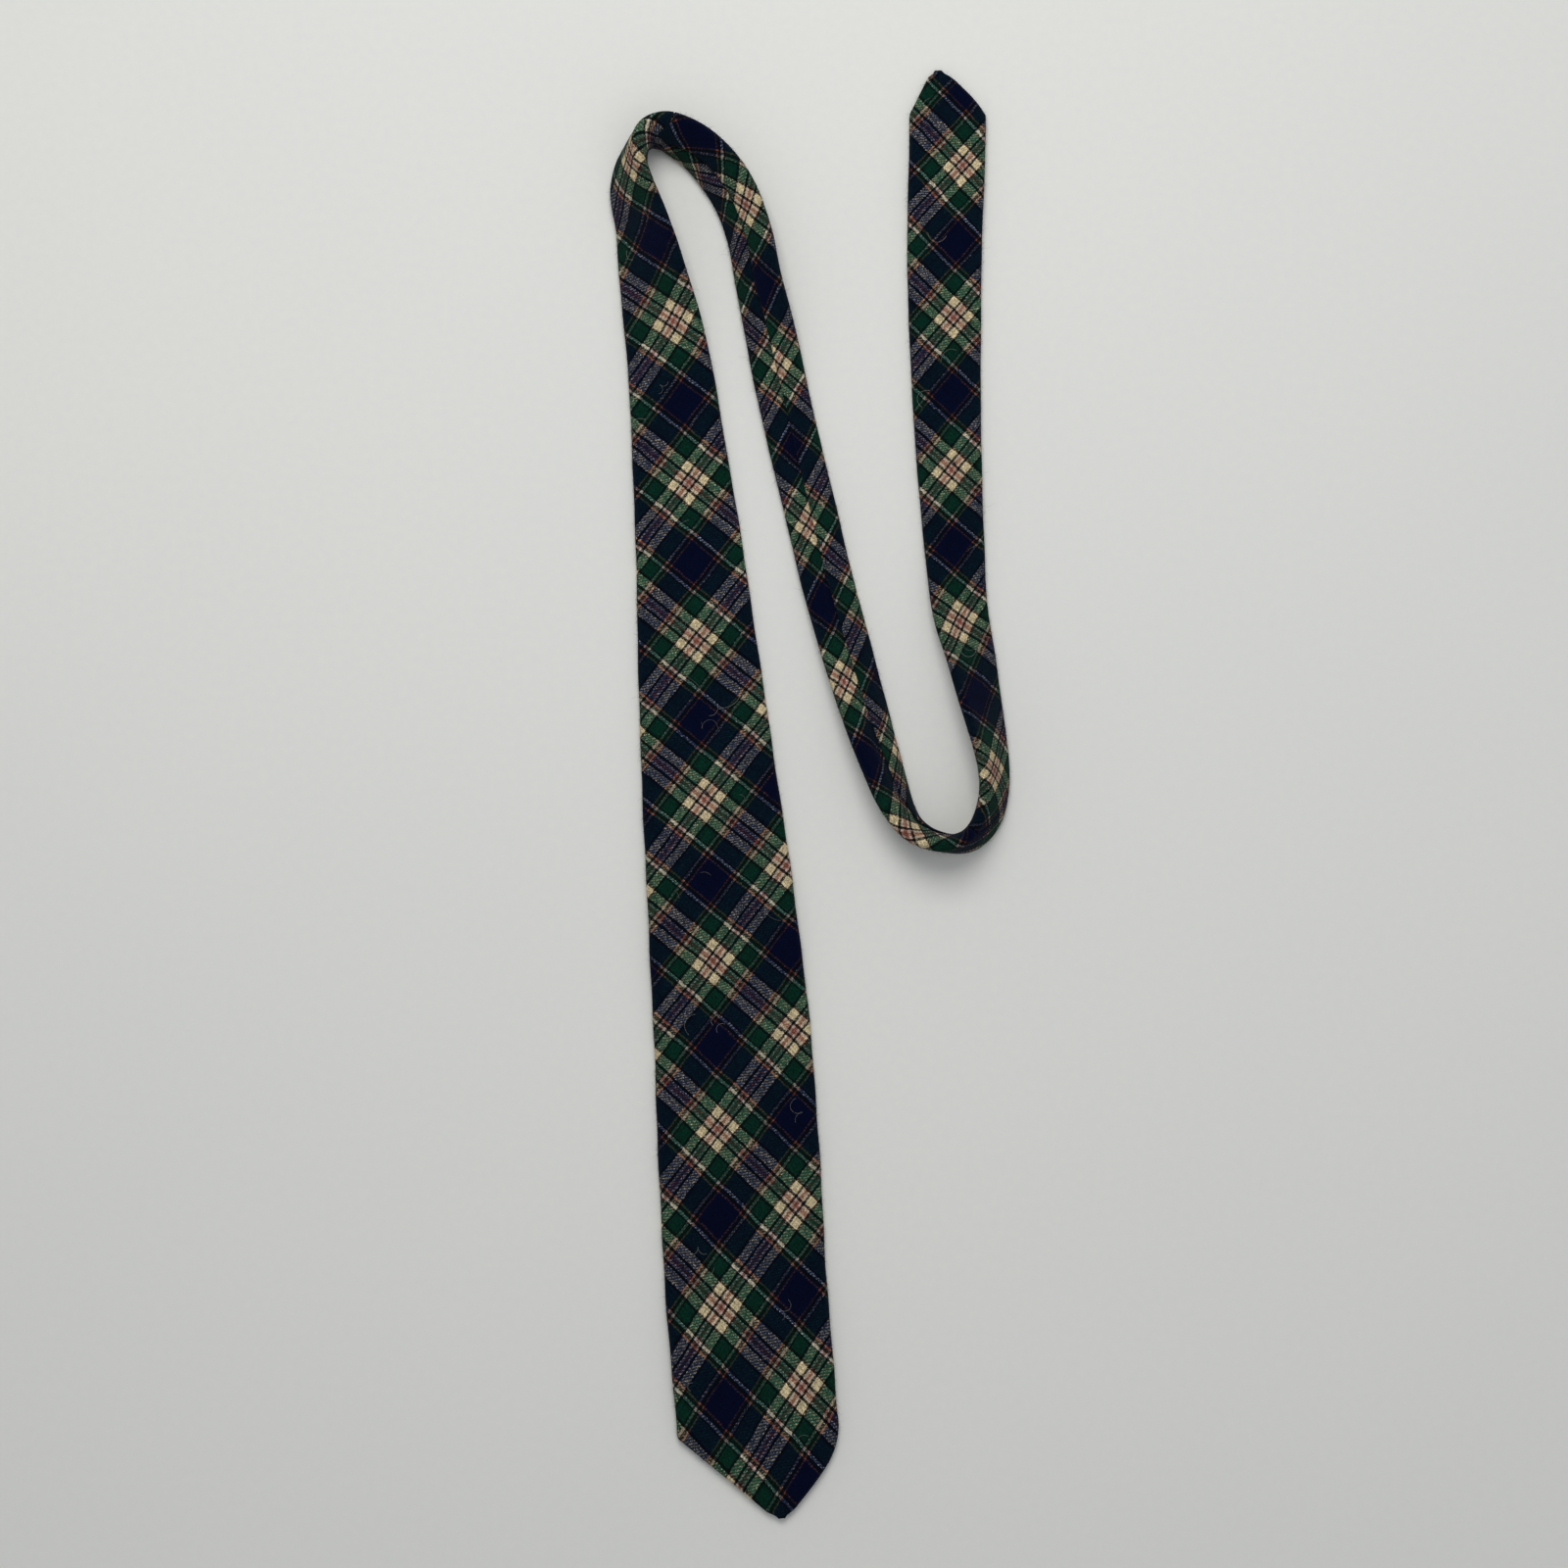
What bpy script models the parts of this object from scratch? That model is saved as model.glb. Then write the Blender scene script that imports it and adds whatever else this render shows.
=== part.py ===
"""A gentleman's necktie in tartan wool, lying loose on a table, face up at both ends.

The tie is one long flat envelope. An outer cloth, cut on the bias in three pieces, is folded round a
wool interlining, and its two edges overlap down the middle of the back, where a slip stitch holds them.
Both ends are pointed and lined. The envelope runs up from the wide point, turns over, comes back down
as the neck band with its back up, turns over again and runs up to the narrow point.

Every piece is drawn in the tie's own terms and then laid: the distance from the wide point, the place
across the width from the middle line, and the height above the envelope's middle layer.
"""

import bpy
import numpy as np
from mathutils import Matrix

# Widths and lengths of the finished tie, in metres.
BLADE_WIDTH = 0.076
NECK_WIDTH = 0.0245
TAIL_WIDTH = 0.0358
BLADE_POINT = 0.042
TAIL_POINT = 0.021
BLADE_SKEW = 0.0073
TAIL_SKEW = 0.0048
POINT_BLUNT = 0.0064
BLADE_TAPER = (0.141, 0.771)
TAIL_TAPER = (0.033, 0.348)

# Cloth and fillings.
CLOTH = 0.0007
INTERLINING = 0.0013
TIPPING = 0.0003
CLEAR = 0.0003
OVERLAP = 0.006
STEP_RUN = 0.003
STITCH_ROOM = 0.0015
TUCK_SHARE = 0.6
RISE_SHARE = 0.8
HEM = 0.011
MITRE_GAP = 0.0008
TIPPING_TUCK = 0.018
LAYER_START = 0.3 * BLADE_POINT
LAYER_END = 0.5 * TAIL_POINT

# Where the flaps part, the keeper loop and the threads.
BLADE_OPENING = 0.080
TAIL_OPENING = 0.052
KEEPER_AT = 0.285
KEEPER_WIDTH = 0.012
KEEPER_SPAN = 0.046
KEEPER_CLOTH = 0.0008
WHIP_SHARE = 0.45
THREAD = 0.0005
TACK_THREAD = 0.0006
TACK_LENGTH = 0.008
TACK_ROWS = 9
STITCH_WAVE = 0.0002
HUMP_RAMP = 0.045
SEAM_FADE = 0.060
SEAM_CLEAR = 0.0018
SEAM_GAP = 0.0008
TOP_SEAM_AFTER = 0.068
BOTTOM_SEAM_AFTER = 0.078

# How the tie lies, seen from above. A leg's points are (x, share of the leg's run); a turn's are
# (x, y) from where it starts. The last number is the roll in degrees, 0 with the face up.
FRONT_RUN = 0.584
NECK_RUN = 0.177
TAIL_RUN = 0.224
FRONT_LEG = (
    (0.0534, 1.000, 0), (0.0448, 0.834, 0), (0.0366, 0.594, 0),
    (0.0244, 0.366, 0), (0.0133, 0.156, 0), (0.0055, 0.047, 10),
)
TOP_TURN = (
    (0.0000, 0.0000, 25), (-0.0046, 0.0220, 40), (-0.0097, 0.0404, 53),
    (-0.0098, 0.0529, 72), (-0.0074, 0.0606, 86), (-0.0024, 0.0652, 101),
    (0.0055, 0.0660, 117), (0.0152, 0.0620, 128), (0.0299, 0.0493, 140),
    (0.0380, 0.0375, 144), (0.0454, 0.0180, 145), (0.0497, -0.0037, 151),
    (0.0545, -0.0244, 163), (0.0604, -0.0529, 178),
)
NECK_LEG = (
    (0.0070, 0.175, 180), (0.0141, 0.338, 180), (0.0214, 0.514, 184),
    (0.0293, 0.675, 192), (0.0380, 0.844, 206), (0.0468, 1.000, 222),
)
BOTTOM_TURN = (
    (0.0085, -0.0221, 240), (0.0129, -0.0292, 249), (0.0194, -0.0345, 258),
    (0.0269, -0.0374, 266), (0.0339, -0.0381, 276), (0.0414, -0.0358, 286),
    (0.0470, -0.0304, 292), (0.0509, -0.0222, 296), (0.0529, -0.0120, 298),
    (0.0524, 0.0004, 302), (0.0506, 0.0108, 307), (0.0460, 0.0308, 319),
    (0.0413, 0.0529, 333), (0.0377, 0.0678, 343), (0.0344, 0.1012, 358),
)
TAIL_LEG = (
    (-0.0033, 0.267, 360), (-0.0045, 0.468, 360), (-0.0045, 0.678, 360),
    (-0.0035, 0.825, 360), (-0.0029, 1.000, 360),
)
TOP_PIVOT_POINT = 8
BOTTOM_PIVOT = (0.0326, -0.0378)

# How finely the lofts are cut.
LEG_STEP = 0.040
TURN_STEP = 14.0
ROLL_STEP = 14.0
SEAM_FINER = 1.2
RIGHT_FLAP = 1
LEFT_FLAP = 3
ROLL = 2
STATION_ROOM = 0.003
OPENING_STEPS = (-3, -1.5, -0.5, 0, 1)
BLADE_SHARES = (0, 0.12, 0.3, 0.6, 1)
TAIL_SHARES = (0, 0.2, 0.5, 1)
KEEPER_STEPS = (-3, -1.5, -0.5, 0.5, 1.5, 3)
FACE_COLUMNS = 5
KEEPER_COLUMNS = 7
LINE_POINTS = 3000

THICKNESS = 3 * CLOTH + INTERLINING + TIPPING + 4 * CLEAR
EDGE_RADIUS = THICKNESS / 2
FOLD_RADIUS = EDGE_RADIUS - CLOTH / 2
FLAP_STEP = CLOTH + CLEAR
BACK_LEVEL = -FOLD_RADIUS
FACE_LEVEL = FOLD_RADIUS
INTERLINING_LEVEL = EDGE_RADIUS - CLOTH - CLEAR - INTERLINING / 2
TIPPING_LEVEL = INTERLINING_LEVEL - INTERLINING / 2 - CLEAR - TIPPING / 2
KEEPER_HUMP = KEEPER_CLOTH + 1.5 * CLEAR
TACK_HUMP = TACK_THREAD + 1.5 * CLEAR

COLOURS = {
    "tartan": ((0.030, 0.060, 0.055), 0.92, 0.0),
    "wool_canvas": ((0.72, 0.68, 0.58), 0.95, 0.0),
    "tipping_satin": ((0.015, 0.018, 0.050), 0.45, 0.0),
    "thread": ((0.012, 0.014, 0.030), 0.60, 0.0),
}


def smooth(share):
    """0 below 0, 1 above 1 and a smooth rise between."""
    share = np.clip(share, 0.0, 1.0)
    return share * share * (3 - 2 * share)


def ease(distance, ends):
    """1 before the taper's first end, 0 after its second, half a cosine wave between."""
    share = np.clip((distance - ends[0]) / (ends[1] - ends[0]), 0.0, 1.0)
    return 0.5 + 0.5 * np.cos(np.pi * share)


def lay_points():
    """The points that the middle line passes through, as rows of x, y and roll, and the row of each turn's start."""
    rows = [(x, -share * FRONT_RUN, roll) for x, share, roll in FRONT_LEG]
    top = len(rows)
    rows += TOP_TURN
    x0, y0 = TOP_TURN[-1][:2]
    rows += [(x0 + x, y0 - share * NECK_RUN, roll) for x, share, roll in NECK_LEG]
    bottom = len(rows) - 1
    x0, y0 = rows[-1][:2]
    rows += [(x0 + x, y0 + y, roll) for x, y, roll in BOTTOM_TURN]
    x0, y0 = rows[-1][:2]
    rows += [(x0 + x, y0 + share * TAIL_RUN, roll) for x, share, roll in TAIL_LEG]
    return np.array(rows), top, bottom


def middle_line(points):
    """A smooth line through the points: cubic pieces whose slopes are the weighted mean of both sides' slopes.

    The roll stays level on both sides of a point where it starts or stops changing.
    """
    chord = np.hypot(*np.diff(points[:, :2], axis=0).T)
    knots = np.concatenate([[0.0], np.cumsum(chord)])
    slopes = np.diff(points, axis=0) / chord[:, None]
    before, after = chord[:-1, None], chord[1:, None]
    inner = (slopes[:-1] * after + slopes[1:] * before) / (before + after)
    inner[:, ROLL] *= slopes[:-1, ROLL] * slopes[1:, ROLL] > 0
    tangents = np.vstack([slopes[:1], inner, slopes[-1:]])
    at = np.linspace(0.0, knots[-1], LINE_POINTS)
    piece = np.clip(np.searchsorted(knots, at, side="right") - 1, 0, len(chord) - 1)
    gap = chord[piece][:, None]
    share = (at[:, None] - knots[piece][:, None]) / gap
    rise = share * share * (3 - 2 * share)
    leave = share * (1 - share) ** 2 * gap
    arrive = share * share * (share - 1) * gap
    line = points[piece] * (1 - rise) + points[piece + 1] * rise
    line = line + tangents[piece] * leave + tangents[piece + 1] * arrive
    distance = np.concatenate([[0.0], np.cumsum(np.hypot(*np.diff(line[:, :2], axis=0).T))])
    return line, distance, np.interp(knots, at, distance)


POINTS, TOP_ROW, BOTTOM_ROW = lay_points()
LINE, ALONG, KNOTS = middle_line(POINTS)
LENGTH = ALONG[-1]
HEADING = np.unwrap(np.arctan2(np.gradient(LINE[:, 1], ALONG), np.gradient(LINE[:, 0], ALONG)))
TOP_SEAM = KNOTS[TOP_ROW] + TOP_SEAM_AFTER
BOTTOM_SEAM = KNOTS[BOTTOM_ROW] + BOTTOM_SEAM_AFTER


def half_width(distance):
    """Half the tie's width at a distance from the wide point, narrowing in a straight line to each blunt point."""
    left = LENGTH - distance
    blade = NECK_WIDTH + (BLADE_WIDTH - NECK_WIDTH) * ease(distance, BLADE_TAPER)
    tail = (TAIL_WIDTH - NECK_WIDTH) * ease(left, TAIL_TAPER)
    full = (blade + tail) / 2
    blunt = POINT_BLUNT / 2
    blade_point = blunt + (full - blunt) * np.clip(distance / BLADE_POINT, 0, 1)
    tail_point = blunt + (full - blunt) * np.clip(left / TAIL_POINT, 0, 1)
    return np.minimum(blade_point, tail_point)


def skew(distance):
    """How far the middle shifts across towards each point, which lies off the middle line."""
    left = LENGTH - distance
    blade = BLADE_SKEW * (1 - np.clip(distance / BLADE_POINT, 0, 1))
    tail = TAIL_SKEW * (1 - np.clip(left / TAIL_POINT, 0, 1))
    return blade - tail


def bump(distance, middle, flat):
    """1 within half of flat on either side of the middle, falling smoothly to 0 over the ramp."""
    return smooth(1 - (np.abs(distance - middle) - flat / 2) / HUMP_RAMP)


def hump(distance):
    """How far the envelope rises to leave room for the keeper loop and the two bar tacks under it."""
    keeper = KEEPER_HUMP * bump(distance, KEEPER_AT, KEEPER_WIDTH + 2 * CLEAR)
    blade = TACK_HUMP * bump(distance, BLADE_OPENING, TACK_LENGTH)
    tail = TACK_HUMP * bump(distance, LENGTH - TAIL_OPENING, TACK_LENGTH)
    return keeper + blade + tail


def lay(distance, across, up):
    """Points in space for a distance along the tie, a place across it to the right, and a height towards the face.

    The section is turned about the middle line by the roll, and raised until its lowest edge rests on the table.
    """
    distance, across, up = np.broadcast_arrays(distance, across, up)
    x = np.interp(distance, ALONG, LINE[:, 0])
    y = np.interp(distance, ALONG, LINE[:, 1])
    roll = np.radians(np.interp(distance, ALONG, LINE[:, ROLL]))
    heading = np.interp(distance, ALONG, HEADING)
    beyond = distance - np.clip(distance, 0, LENGTH)
    side = across + skew(distance)
    left = up * np.sin(roll) - side * np.cos(roll)
    tallest = (half_width(distance) - EDGE_RADIUS) * np.abs(np.sin(roll)) + EDGE_RADIUS
    z = tallest + side * np.sin(roll) + up * np.cos(roll) + hump(distance)
    x = x + beyond * np.cos(heading) - left * np.sin(heading)
    y = y + beyond * np.sin(heading) + left * np.cos(heading)
    return np.stack([x, y, z], axis=-1)


def free_edge(distance):
    """How far a flap's free edge stops short of the middle of the back: below 0 where the two flaps overlap."""
    left = LENGTH - distance
    spread = np.maximum(BLADE_OPENING - distance, TAIL_OPENING - left) - OVERLAP / 2
    hem = np.maximum(half_width(distance) - HEM, MITRE_GAP / 2)
    return np.clip(np.minimum(hem, spread), -OVERLAP / 2, None)


def flap_step(distance):
    """How far the left flap is tucked in under the right one, which ends where the flaps part."""
    left = LENGTH - distance
    inside = np.minimum(distance - BLADE_OPENING, left - TAIL_OPENING)
    return FLAP_STEP * smooth((inside + 1.5 * OVERLAP) / OVERLAP)


def face_columns(half):
    """Places across the flat of the face, from right to left, shared by every layer so that they twist alike."""
    return (half - EDGE_RADIUS) * np.linspace(1, -1, FACE_COLUMNS)


def shell_section(distance):
    """The cloth's middle layer across the tie at one distance, as rows of across and up.

    It runs from the right flap's free edge on the back, round the right fold, over the face, round the
    left fold and back to the left flap's free edge, which steps in under the right flap.
    """
    half = half_width(distance)
    flat = half - EDGE_RADIUS
    edge = free_edge(distance)
    reach = flat - edge
    tuck = edge + min(OVERLAP + STITCH_ROOM, reach * TUCK_SHARE)
    rise = edge + min(OVERLAP + STITCH_ROOM + STEP_RUN, reach * RISE_SHARE)
    turn = np.radians([-90, -30, 30, 90])
    right = np.stack([flat + FOLD_RADIUS * np.cos(turn), FOLD_RADIUS * np.sin(turn)], 1)
    left = right[::-1] * [-1, 1]
    face = [(across, FACE_LEVEL) for across in face_columns(half)[1:-1]]
    inside = BACK_LEVEL + flap_step(distance)
    flap = [(-rise, BACK_LEVEL), (-tuck, inside), (-edge, inside)]
    return np.vstack([[(edge, BACK_LEVEL)], right, face, left, flap])


def seam_shift(section):
    """How far a piecing seam is shifted at each section point: across the face, and no further on the flaps."""
    shift = section[:, 0].copy()
    shift[:RIGHT_FLAP] = shift[RIGHT_FLAP]
    shift[-LEFT_FLAP:] = shift[-LEFT_FLAP - 1]
    return shift


def slant(distance):
    """1 at a piecing seam and 0 away from it: the bias seams run at 45 degrees across the face."""
    near = np.minimum(np.abs(distance - TOP_SEAM), np.abs(distance - BOTTOM_SEAM))
    return smooth(1 - near / SEAM_FADE)


def all_stations():
    """Distances at which every layer is cut, closer together at the turns, the rolls and the piecing seams.

    Each named place has one of its own, and all the layers share them, so that they bend alike.
    """
    turning = np.abs(np.gradient(np.degrees(HEADING))) / TURN_STEP
    rolling = np.abs(np.gradient(LINE[:, ROLL])) / ROLL_STEP
    finer = 1 + SEAM_FINER * slant(ALONG)
    count = np.cumsum((np.gradient(ALONG) / LEG_STEP + turning + rolling) * finer)
    even = np.interp(np.arange(count[0], count[-1]), count, ALONG)
    named = [BLADE_POINT * share for share in BLADE_SHARES]
    named += [LENGTH - TAIL_POINT * share for share in TAIL_SHARES]
    named += [BLADE_OPENING + OVERLAP * step for step in OPENING_STEPS]
    named += [LENGTH - TAIL_OPENING - OVERLAP * step for step in OPENING_STEPS]
    named += [KEEPER_AT + KEEPER_WIDTH * step for step in KEEPER_STEPS]
    spare = [at for at in even if np.abs(np.array(named) - at).min() > STATION_ROOM]
    return np.sort(named + spare)


STATIONS = all_stations()


def stations(start, end):
    """The shared distances between two ends, and the ends."""
    room = STATION_ROOM / 2
    inner = STATIONS[(STATIONS > start + room) & (STATIONS < end - room)]
    return np.concatenate([[start], inner, [end]])


def material(name):
    """One Principled material for each finish."""
    if name in bpy.data.materials:
        return bpy.data.materials[name]
    colour, roughness, metallic = COLOURS[name]
    made = bpy.data.materials.new(name)
    made.use_nodes = True
    shader = made.node_tree.nodes["Principled BSDF"]
    shader.inputs["Base Color"].default_value = (*colour, 1)
    shader.inputs["Roughness"].default_value = roughness
    shader.inputs["Metallic"].default_value = metallic
    return made


def finish(name, data, finish_name, body):
    """Adds an object to the tie, with its origin on its body's joint axis."""
    piece = bpy.data.objects.new(name, data)
    TIE.objects.link(piece)
    data.materials.append(material(finish_name))
    data.transform(Matrix.Translation(-body.matrix_world.translation))
    piece.parent = body
    return piece


def layer(name, rows, thickness, finish_name, body):
    """A sheet lofted through rows of points in space, given its thickness by Solidify on both sides."""
    points = np.array(rows)
    across = points.shape[1]
    first = np.arange(len(points) - 1)[:, None] * across + np.arange(across - 1)
    quads = np.stack([first, first + 1, first + across + 1, first + across], -1).reshape(-1, 4)
    mesh = bpy.data.meshes.new(name)
    mesh.from_pydata(points.reshape(-1, 3).tolist(), [], quads.tolist())
    mesh.shade_smooth()
    piece = finish(name, mesh, finish_name, body)
    wall = piece.modifiers.new("cloth", "SOLIDIFY")
    wall.thickness = thickness
    wall.offset = 0
    wall.use_even_offset = True
    wall.use_quality_normals = True
    return piece


def thread(name, points, diameter, body):
    """A thread through points in space, as a fine tube with closed ends."""
    curve = bpy.data.curves.new(name, "CURVE")
    curve.dimensions = "3D"
    curve.bevel_depth = diameter / 2
    curve.bevel_resolution = 1
    curve.use_fill_caps = True
    spline = curve.splines.new("POLY")
    spline.points.add(len(points) - 1)
    for target, point in zip(spline.points, points):
        target.co = (*point, 1)
    return finish(name, curve, "thread", body)


def shell(name, start, end, body):
    """One piece of the outer cloth. A piecing seam cuts its end on the slant, with a fine gap to the next piece."""
    start = start + SEAM_GAP / 2 if start > 0 else start
    end = end - SEAM_GAP / 2 if end < LENGTH else end
    rows = []
    for at in stations(start, end):
        section = shell_section(at)
        distance = at + slant(at) * seam_shift(section)
        rows.append(lay(distance, section[:, 0], section[:, 1]))
    return layer(name, rows, CLOTH, "tartan", body)


def interlining(name, start, end, body):
    """The wool canvas inside one piece, short of each fold, each point and each piecing seam."""
    start = start + SEAM_CLEAR if start > 0 else LAYER_START
    end = end - SEAM_CLEAR if end < LENGTH else LENGTH - LAYER_END
    rows = []
    for at in stations(start, end):
        across = face_columns(half_width(at) - 2 * CLEAR)
        rows.append(lay(at + slant(at) * across, across, INTERLINING_LEVEL))
    return layer(name, rows, INTERLINING, "wool_canvas", body)


def tipping(name, start, end, body):
    """The lining of a pointed end, which shows between its hems on the back and runs on under the flaps."""
    rows = []
    for at in stations(start, end):
        across = face_columns(half_width(at) - 2 * CLEAR)
        rows.append(lay(at, across, TIPPING_LEVEL))
    return layer(name, rows, TIPPING, "tipping_satin", body)


def slip_stitch(name, start, end, body):
    """The hidden thread beside the right flap's free edge, winding a little as it runs along the back."""
    level = BACK_LEVEL + FLAP_STEP - CLOTH / 2 - CLEAR - THREAD / 2
    points = []
    for count, at in enumerate(stations(start, end)):
        wave = STITCH_WAVE * (-1) ** count
        points.append(lay(at, -OVERLAP / 2 - CLOTH + wave, level))
    return thread(name, points, THREAD, body)


def zigzag(start, end, rows):
    """Points that pass to and fro between two lines in space, each given as its two ends."""
    start, end = np.array(start), np.array(end)
    shares = np.linspace(0, 1, rows)
    sides = [start, end]
    return [sides[n % 2][0] * (1 - s) + sides[n % 2][1] * s for n, s in enumerate(shares)]


def bar_tack(name, at, body):
    """The close zigzag that closes the back where the two flaps part."""
    level = -EDGE_RADIUS - CLEAR - TACK_THREAD / 2
    half, wide = TACK_LENGTH / 2, TACK_THREAD * 1.5
    near = lay([at - wide, at - wide], [-half, half], level)
    far = lay([at + wide, at + wide], [-half, half], level)
    return thread(name, zigzag(near, far, TACK_ROWS), TACK_THREAD, body)


def keeper_loop(body):
    """The self-cloth loop across the back that holds the narrow blade, flat when it is empty."""
    level = -EDGE_RADIUS - CLEAR - KEEPER_CLOTH / 2
    across = np.linspace(KEEPER_SPAN / 2, -KEEPER_SPAN / 2, KEEPER_COLUMNS)
    distances = KEEPER_AT + KEEPER_WIDTH * np.array([-0.5, 0.5])
    rows = [lay(at, across, level) for at in distances]
    return layer("keeper_loop", rows, KEEPER_CLOTH, "tartan", body)


def keeper_stitch(name, side, body):
    """The whipping thread along one end of the keeper loop."""
    level = -EDGE_RADIUS - CLEAR - THREAD
    inner = side * (KEEPER_SPAN / 2 + CLEAR + THREAD / 2)
    outer = inner + side * THREAD
    ends = KEEPER_AT + KEEPER_WIDTH * np.array([-WHIP_SHARE, WHIP_SHARE])
    near = lay(ends, [inner, inner], level)
    far = lay(ends, [outer, outer], level)
    return thread(name, zigzag(near, far, TACK_ROWS), THREAD, body)


def piecing_stitch(name, seam, body):
    """The thread of a piecing seam, on the slant across the inside of the face."""
    level = EDGE_RADIUS - CLOTH - CLEAR - THREAD / 2
    across = face_columns(half_width(seam))
    return thread(name, lay(seam + across, across, level), THREAD, body)


def clear_scene():
    """Takes every object out of the open scene."""
    for old in list(bpy.data.objects):
        bpy.data.objects.remove(old)


def box_middle():
    """The middle of the laid envelope's box, seen from above."""
    distance = np.linspace(0, LENGTH, LINE_POINTS)
    half = half_width(distance)
    rim = np.concatenate([lay(distance, side * half, 0.0) for side in (-1, 1)])
    return (rim.min(axis=0)[:2] + rim.max(axis=0)[:2]) / 2


def pivot(name, place, parent=None):
    """An empty on a joint's axis, which the pieces of one body hang from."""
    empty = bpy.data.objects.new(name, None)
    TIE.objects.link(empty)
    empty.location = (*place, 0.0)
    if parent:
        empty.parent = parent
        empty.location = empty.location - parent.matrix_world.translation
    bpy.context.view_layer.update()
    return empty


clear_scene()
TIE = bpy.data.collections.new("necktie")
bpy.context.scene.collection.children.link(TIE)
MIDDLE = box_middle()
LINE[:, :2] -= MIDDLE
POINTS[:, :2] -= MIDDLE

FRONT = pivot("front_blade", (0.0, 0.0))
NECK = pivot("neck_band", POINTS[TOP_ROW + TOP_PIVOT_POINT][:2], FRONT)
TAIL = pivot("tail_blade", POINTS[BOTTOM_ROW][:2] + BOTTOM_PIVOT, NECK)
CUT = NECK_WIDTH + 2 * OVERLAP

shell("front_shell", 0.0, TOP_SEAM, FRONT)
interlining("front_interlining", 0.0, TOP_SEAM, FRONT)
tipping("front_tipping", LAYER_START, BLADE_OPENING + TIPPING_TUCK, FRONT)
bar_tack("front_bar_tack", BLADE_OPENING, FRONT)
slip_stitch("front_slip_stitch", BLADE_OPENING + OVERLAP, TOP_SEAM - CUT, FRONT)
keeper_loop(FRONT)
keeper_stitch("keeper_stitch_right", 1, FRONT)
keeper_stitch("keeper_stitch_left", -1, FRONT)

shell("neck_shell", TOP_SEAM, BOTTOM_SEAM, NECK)
interlining("neck_interlining", TOP_SEAM, BOTTOM_SEAM, NECK)
slip_stitch("neck_slip_stitch", TOP_SEAM + CUT, BOTTOM_SEAM - CUT, NECK)
piecing_stitch("front_piecing_stitch", TOP_SEAM, NECK)
piecing_stitch("tail_piecing_stitch", BOTTOM_SEAM, NECK)

shell("tail_shell", BOTTOM_SEAM, LENGTH, TAIL)
interlining("tail_interlining", BOTTOM_SEAM, LENGTH, TAIL)
tipping("tail_tipping", LENGTH - TAIL_OPENING - TIPPING_TUCK, LENGTH - LAYER_END, TAIL)
bar_tack("tail_bar_tack", LENGTH - TAIL_OPENING, TAIL)
slip_stitch("tail_slip_stitch", BOTTOM_SEAM + CUT, LENGTH - TAIL_OPENING - OVERLAP, TAIL)
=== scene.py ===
"""A gentleman's tartan wool necktie, laid out in a loose N on a pale table.

Cloth, canvas, linings and threads are drawn in the tie's own terms, which are the distance from the wide
point, the place across the width to the right, and the height towards the face, and are then laid along the
tie's middle line. The middle line runs up the wide blade, turns over, comes back down as the neck band with
its back up, turns over again and runs up the tail.
"""

import bpy
import numpy as np
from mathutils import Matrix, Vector


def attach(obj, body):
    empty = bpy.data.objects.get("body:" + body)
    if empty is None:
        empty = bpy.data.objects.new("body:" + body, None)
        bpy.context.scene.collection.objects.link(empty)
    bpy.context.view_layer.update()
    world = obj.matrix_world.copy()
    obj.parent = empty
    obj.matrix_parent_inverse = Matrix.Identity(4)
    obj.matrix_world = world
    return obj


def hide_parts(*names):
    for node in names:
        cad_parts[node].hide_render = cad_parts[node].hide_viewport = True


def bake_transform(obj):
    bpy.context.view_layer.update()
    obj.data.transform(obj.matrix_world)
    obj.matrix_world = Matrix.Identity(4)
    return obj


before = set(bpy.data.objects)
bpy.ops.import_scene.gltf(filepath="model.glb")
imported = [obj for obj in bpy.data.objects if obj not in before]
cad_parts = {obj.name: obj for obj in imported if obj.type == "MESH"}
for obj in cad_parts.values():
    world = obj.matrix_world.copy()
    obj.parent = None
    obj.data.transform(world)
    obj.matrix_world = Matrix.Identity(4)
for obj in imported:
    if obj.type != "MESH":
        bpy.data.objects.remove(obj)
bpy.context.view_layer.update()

# Widths and lengths of the finished tie, in metres.
BLADE_WIDTH = 0.076
NECK_WIDTH = 0.0245
TAIL_WIDTH = 0.0358
BLADE_POINT = 0.042
TAIL_POINT = 0.021
BLADE_SKEW = 0.0073
TAIL_SKEW = 0.0048
POINT_BLUNT = 0.0064
BLADE_TAPER = (0.141, 0.771)
TAIL_TAPER = (0.033, 0.348)

# Cloth, fillings and the way they are sewn.
CLOTH = 0.0007
CANVAS = 0.0013
LINING = 0.0003
CLEAR = 0.0003
OVERLAP = 0.006
STITCH_ROOM = 0.0015
STEP_RUN = 0.003
TUCK_SHARE = 0.6
RISE_SHARE = 0.8
HEM = 0.011
MITRE_GAP = 0.0008
LINING_TUCK = 0.018
LAYER_START = 0.3 * BLADE_POINT
LAYER_END = 0.5 * TAIL_POINT
BLADE_OPENING = 0.080
TAIL_OPENING = 0.052
KEEPER_AT = 0.285
KEEPER_WIDTH = 0.012
KEEPER_SPAN = 0.046
KEEPER_CLOTH = 0.0008
WHIP_SHARE = 0.45
THREAD = 0.0005
TACK_THREAD = 0.0006
TACK_LENGTH = 0.008
HUMP_RAMP = 0.045
SEAM_FADE = 0.060
SEAM_CLEAR = 0.0018
SEAM_GAP = 0.0004
TOP_SEAM_AFTER = 0.068
BOTTOM_SEAM_AFTER = 0.078

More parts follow.
